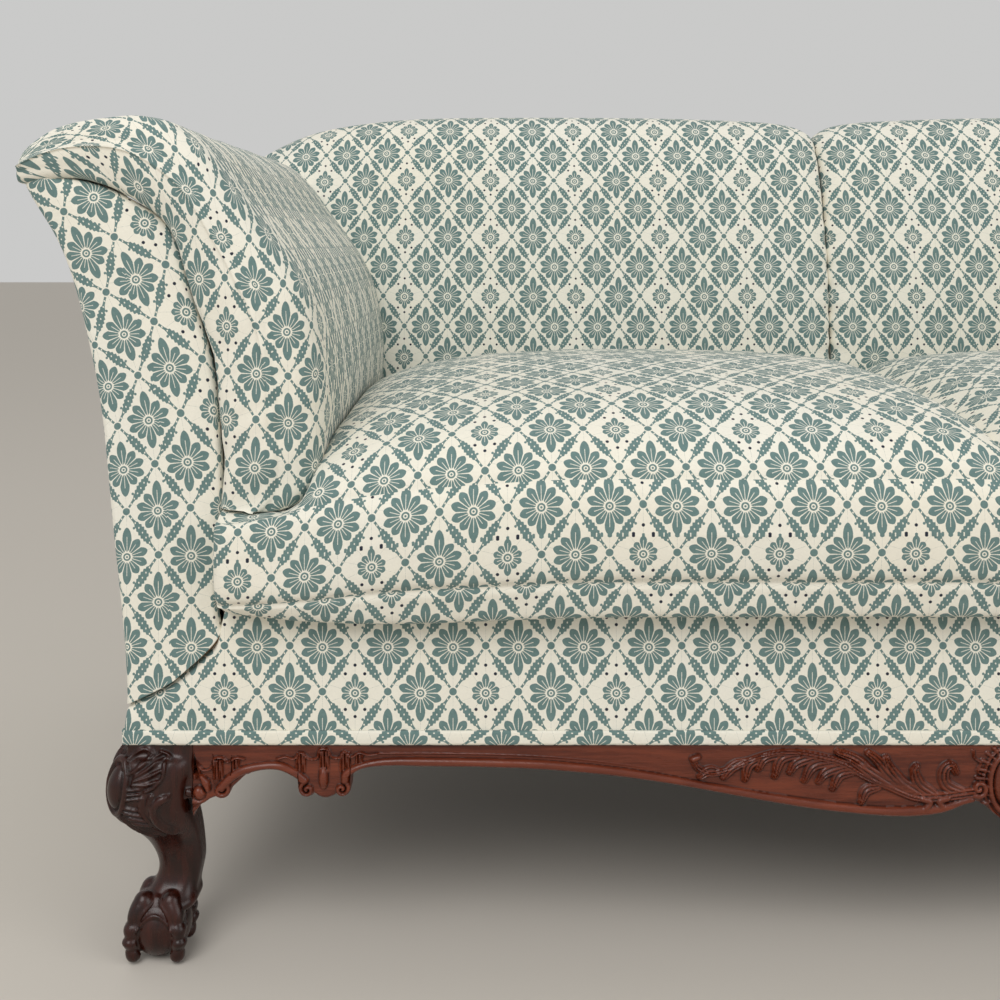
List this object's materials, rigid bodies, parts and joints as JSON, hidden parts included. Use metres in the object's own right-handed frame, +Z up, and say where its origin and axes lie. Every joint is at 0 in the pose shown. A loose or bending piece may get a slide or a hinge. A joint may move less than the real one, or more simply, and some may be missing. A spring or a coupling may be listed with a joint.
{
  "type": "cabriole sofa",
  "caption": "Upholstered sofa with outward-rolled arms, a high padded back, loose seat cushions and a carved show-wood base on cabriole legs.",
  "frame": {"origin": "middle of the footprint on the floor, under the middle of the sofa's bounding box", "axes": "+X towards the sitter's left arm, which is the right side seen from the front; +Y towards the back; +Z up; the front faces -Y"},
  "size_m": [1.936, 0.8601, 0.9097],
  "materials": {
    "show_wood": "satin",
    "frame_wood": "matte",
    "spring_steel": "satin",
    "webbing": "matte",
    "hessian": "matte",
    "dust_cloth": "matte",
    "platform_cloth": "matte",
    "ticking": "matte",
    "print_cloth": "matte"
  },
  "bodies": {
    "root": {"arm_block_left": "frame_wood", "arm_block_right": "frame_wood", "arm_facing_left": "print_cloth", "arm_facing_right": "print_cloth", "arm_lining_left": "print_cloth", "arm_lining_right": "print_cloth", "arm_pad_left": "print_cloth", "arm_pad_right": "print_cloth", "arm_tack_rail_left": "frame_wood", "arm_tack_rail_right": "frame_wood", "arm_top_rail_left": "frame_wood", "arm_top_rail_right": "frame_wood", "back_pad_left": "print_cloth", "back_pad_right": "print_cloth", "back_post_centre": "frame_wood", "back_post_left": "frame_wood", "back_post_right": "frame_wood", "back_tack_rail": "frame_wood", "back_top_rail": "frame_wood", "body_webbing": "webbing", "corner_block_screws": "spring_steel", "corner_blocks": "frame_wood", "dust_cover": "dust_cloth", "frame_dowels": "frame_wood", "front_apron": "show_wood", "front_arm_post_left": "frame_wood", "front_arm_post_right": "frame_wood", "front_band": "print_cloth", "front_border": "print_cloth", "front_leg_left": "show_wood", "front_leg_right": "show_wood", "knee_ear_front_left": "show_wood", "knee_ear_front_right": "show_wood", "knee_ears_side": "show_wood", "outside_arm_left": "print_cloth", "outside_arm_right": "print_cloth", "outside_back": "print_cloth", "rear_apron": "show_wood", "rear_band": "print_cloth", "rear_leg_left": "show_wood", "rear_leg_right": "show_wood", "seat_cross_rail": "frame_wood", "seat_deck_cover": "platform_cloth", "seat_edge_roll": "hessian", "seat_rail_back": "frame_wood", "seat_rail_front": "frame_wood", "seat_rail_left": "frame_wood", "seat_rail_right": "frame_wood", "seat_springs": "spring_steel", "seat_stuffing": "hessian", "seat_webbing": "webbing", "side_apron_left": "show_wood", "side_apron_right": "show_wood", "side_band_left": "print_cloth", "side_band_right": "print_cloth", "spring_hessian": "hessian"},
    "cushion_left": {"seat_cushion_cover_left": "print_cloth", "seat_cushion_insert_left": "ticking"},
    "cushion_right": {"seat_cushion_cover_right": "print_cloth", "seat_cushion_insert_right": "ticking"}
  },
  "joints": [
    {"name": "cushion_left_slide", "type": "slide", "parent": "root", "child": "cushion_left", "axis": [0, -1, 0], "range_m": [0, 0.7]},
    {"name": "cushion_right_slide", "type": "slide", "parent": "root", "child": "cushion_right", "axis": [0, -1, 0], "range_m": [0, 0.7]}
  ]
}
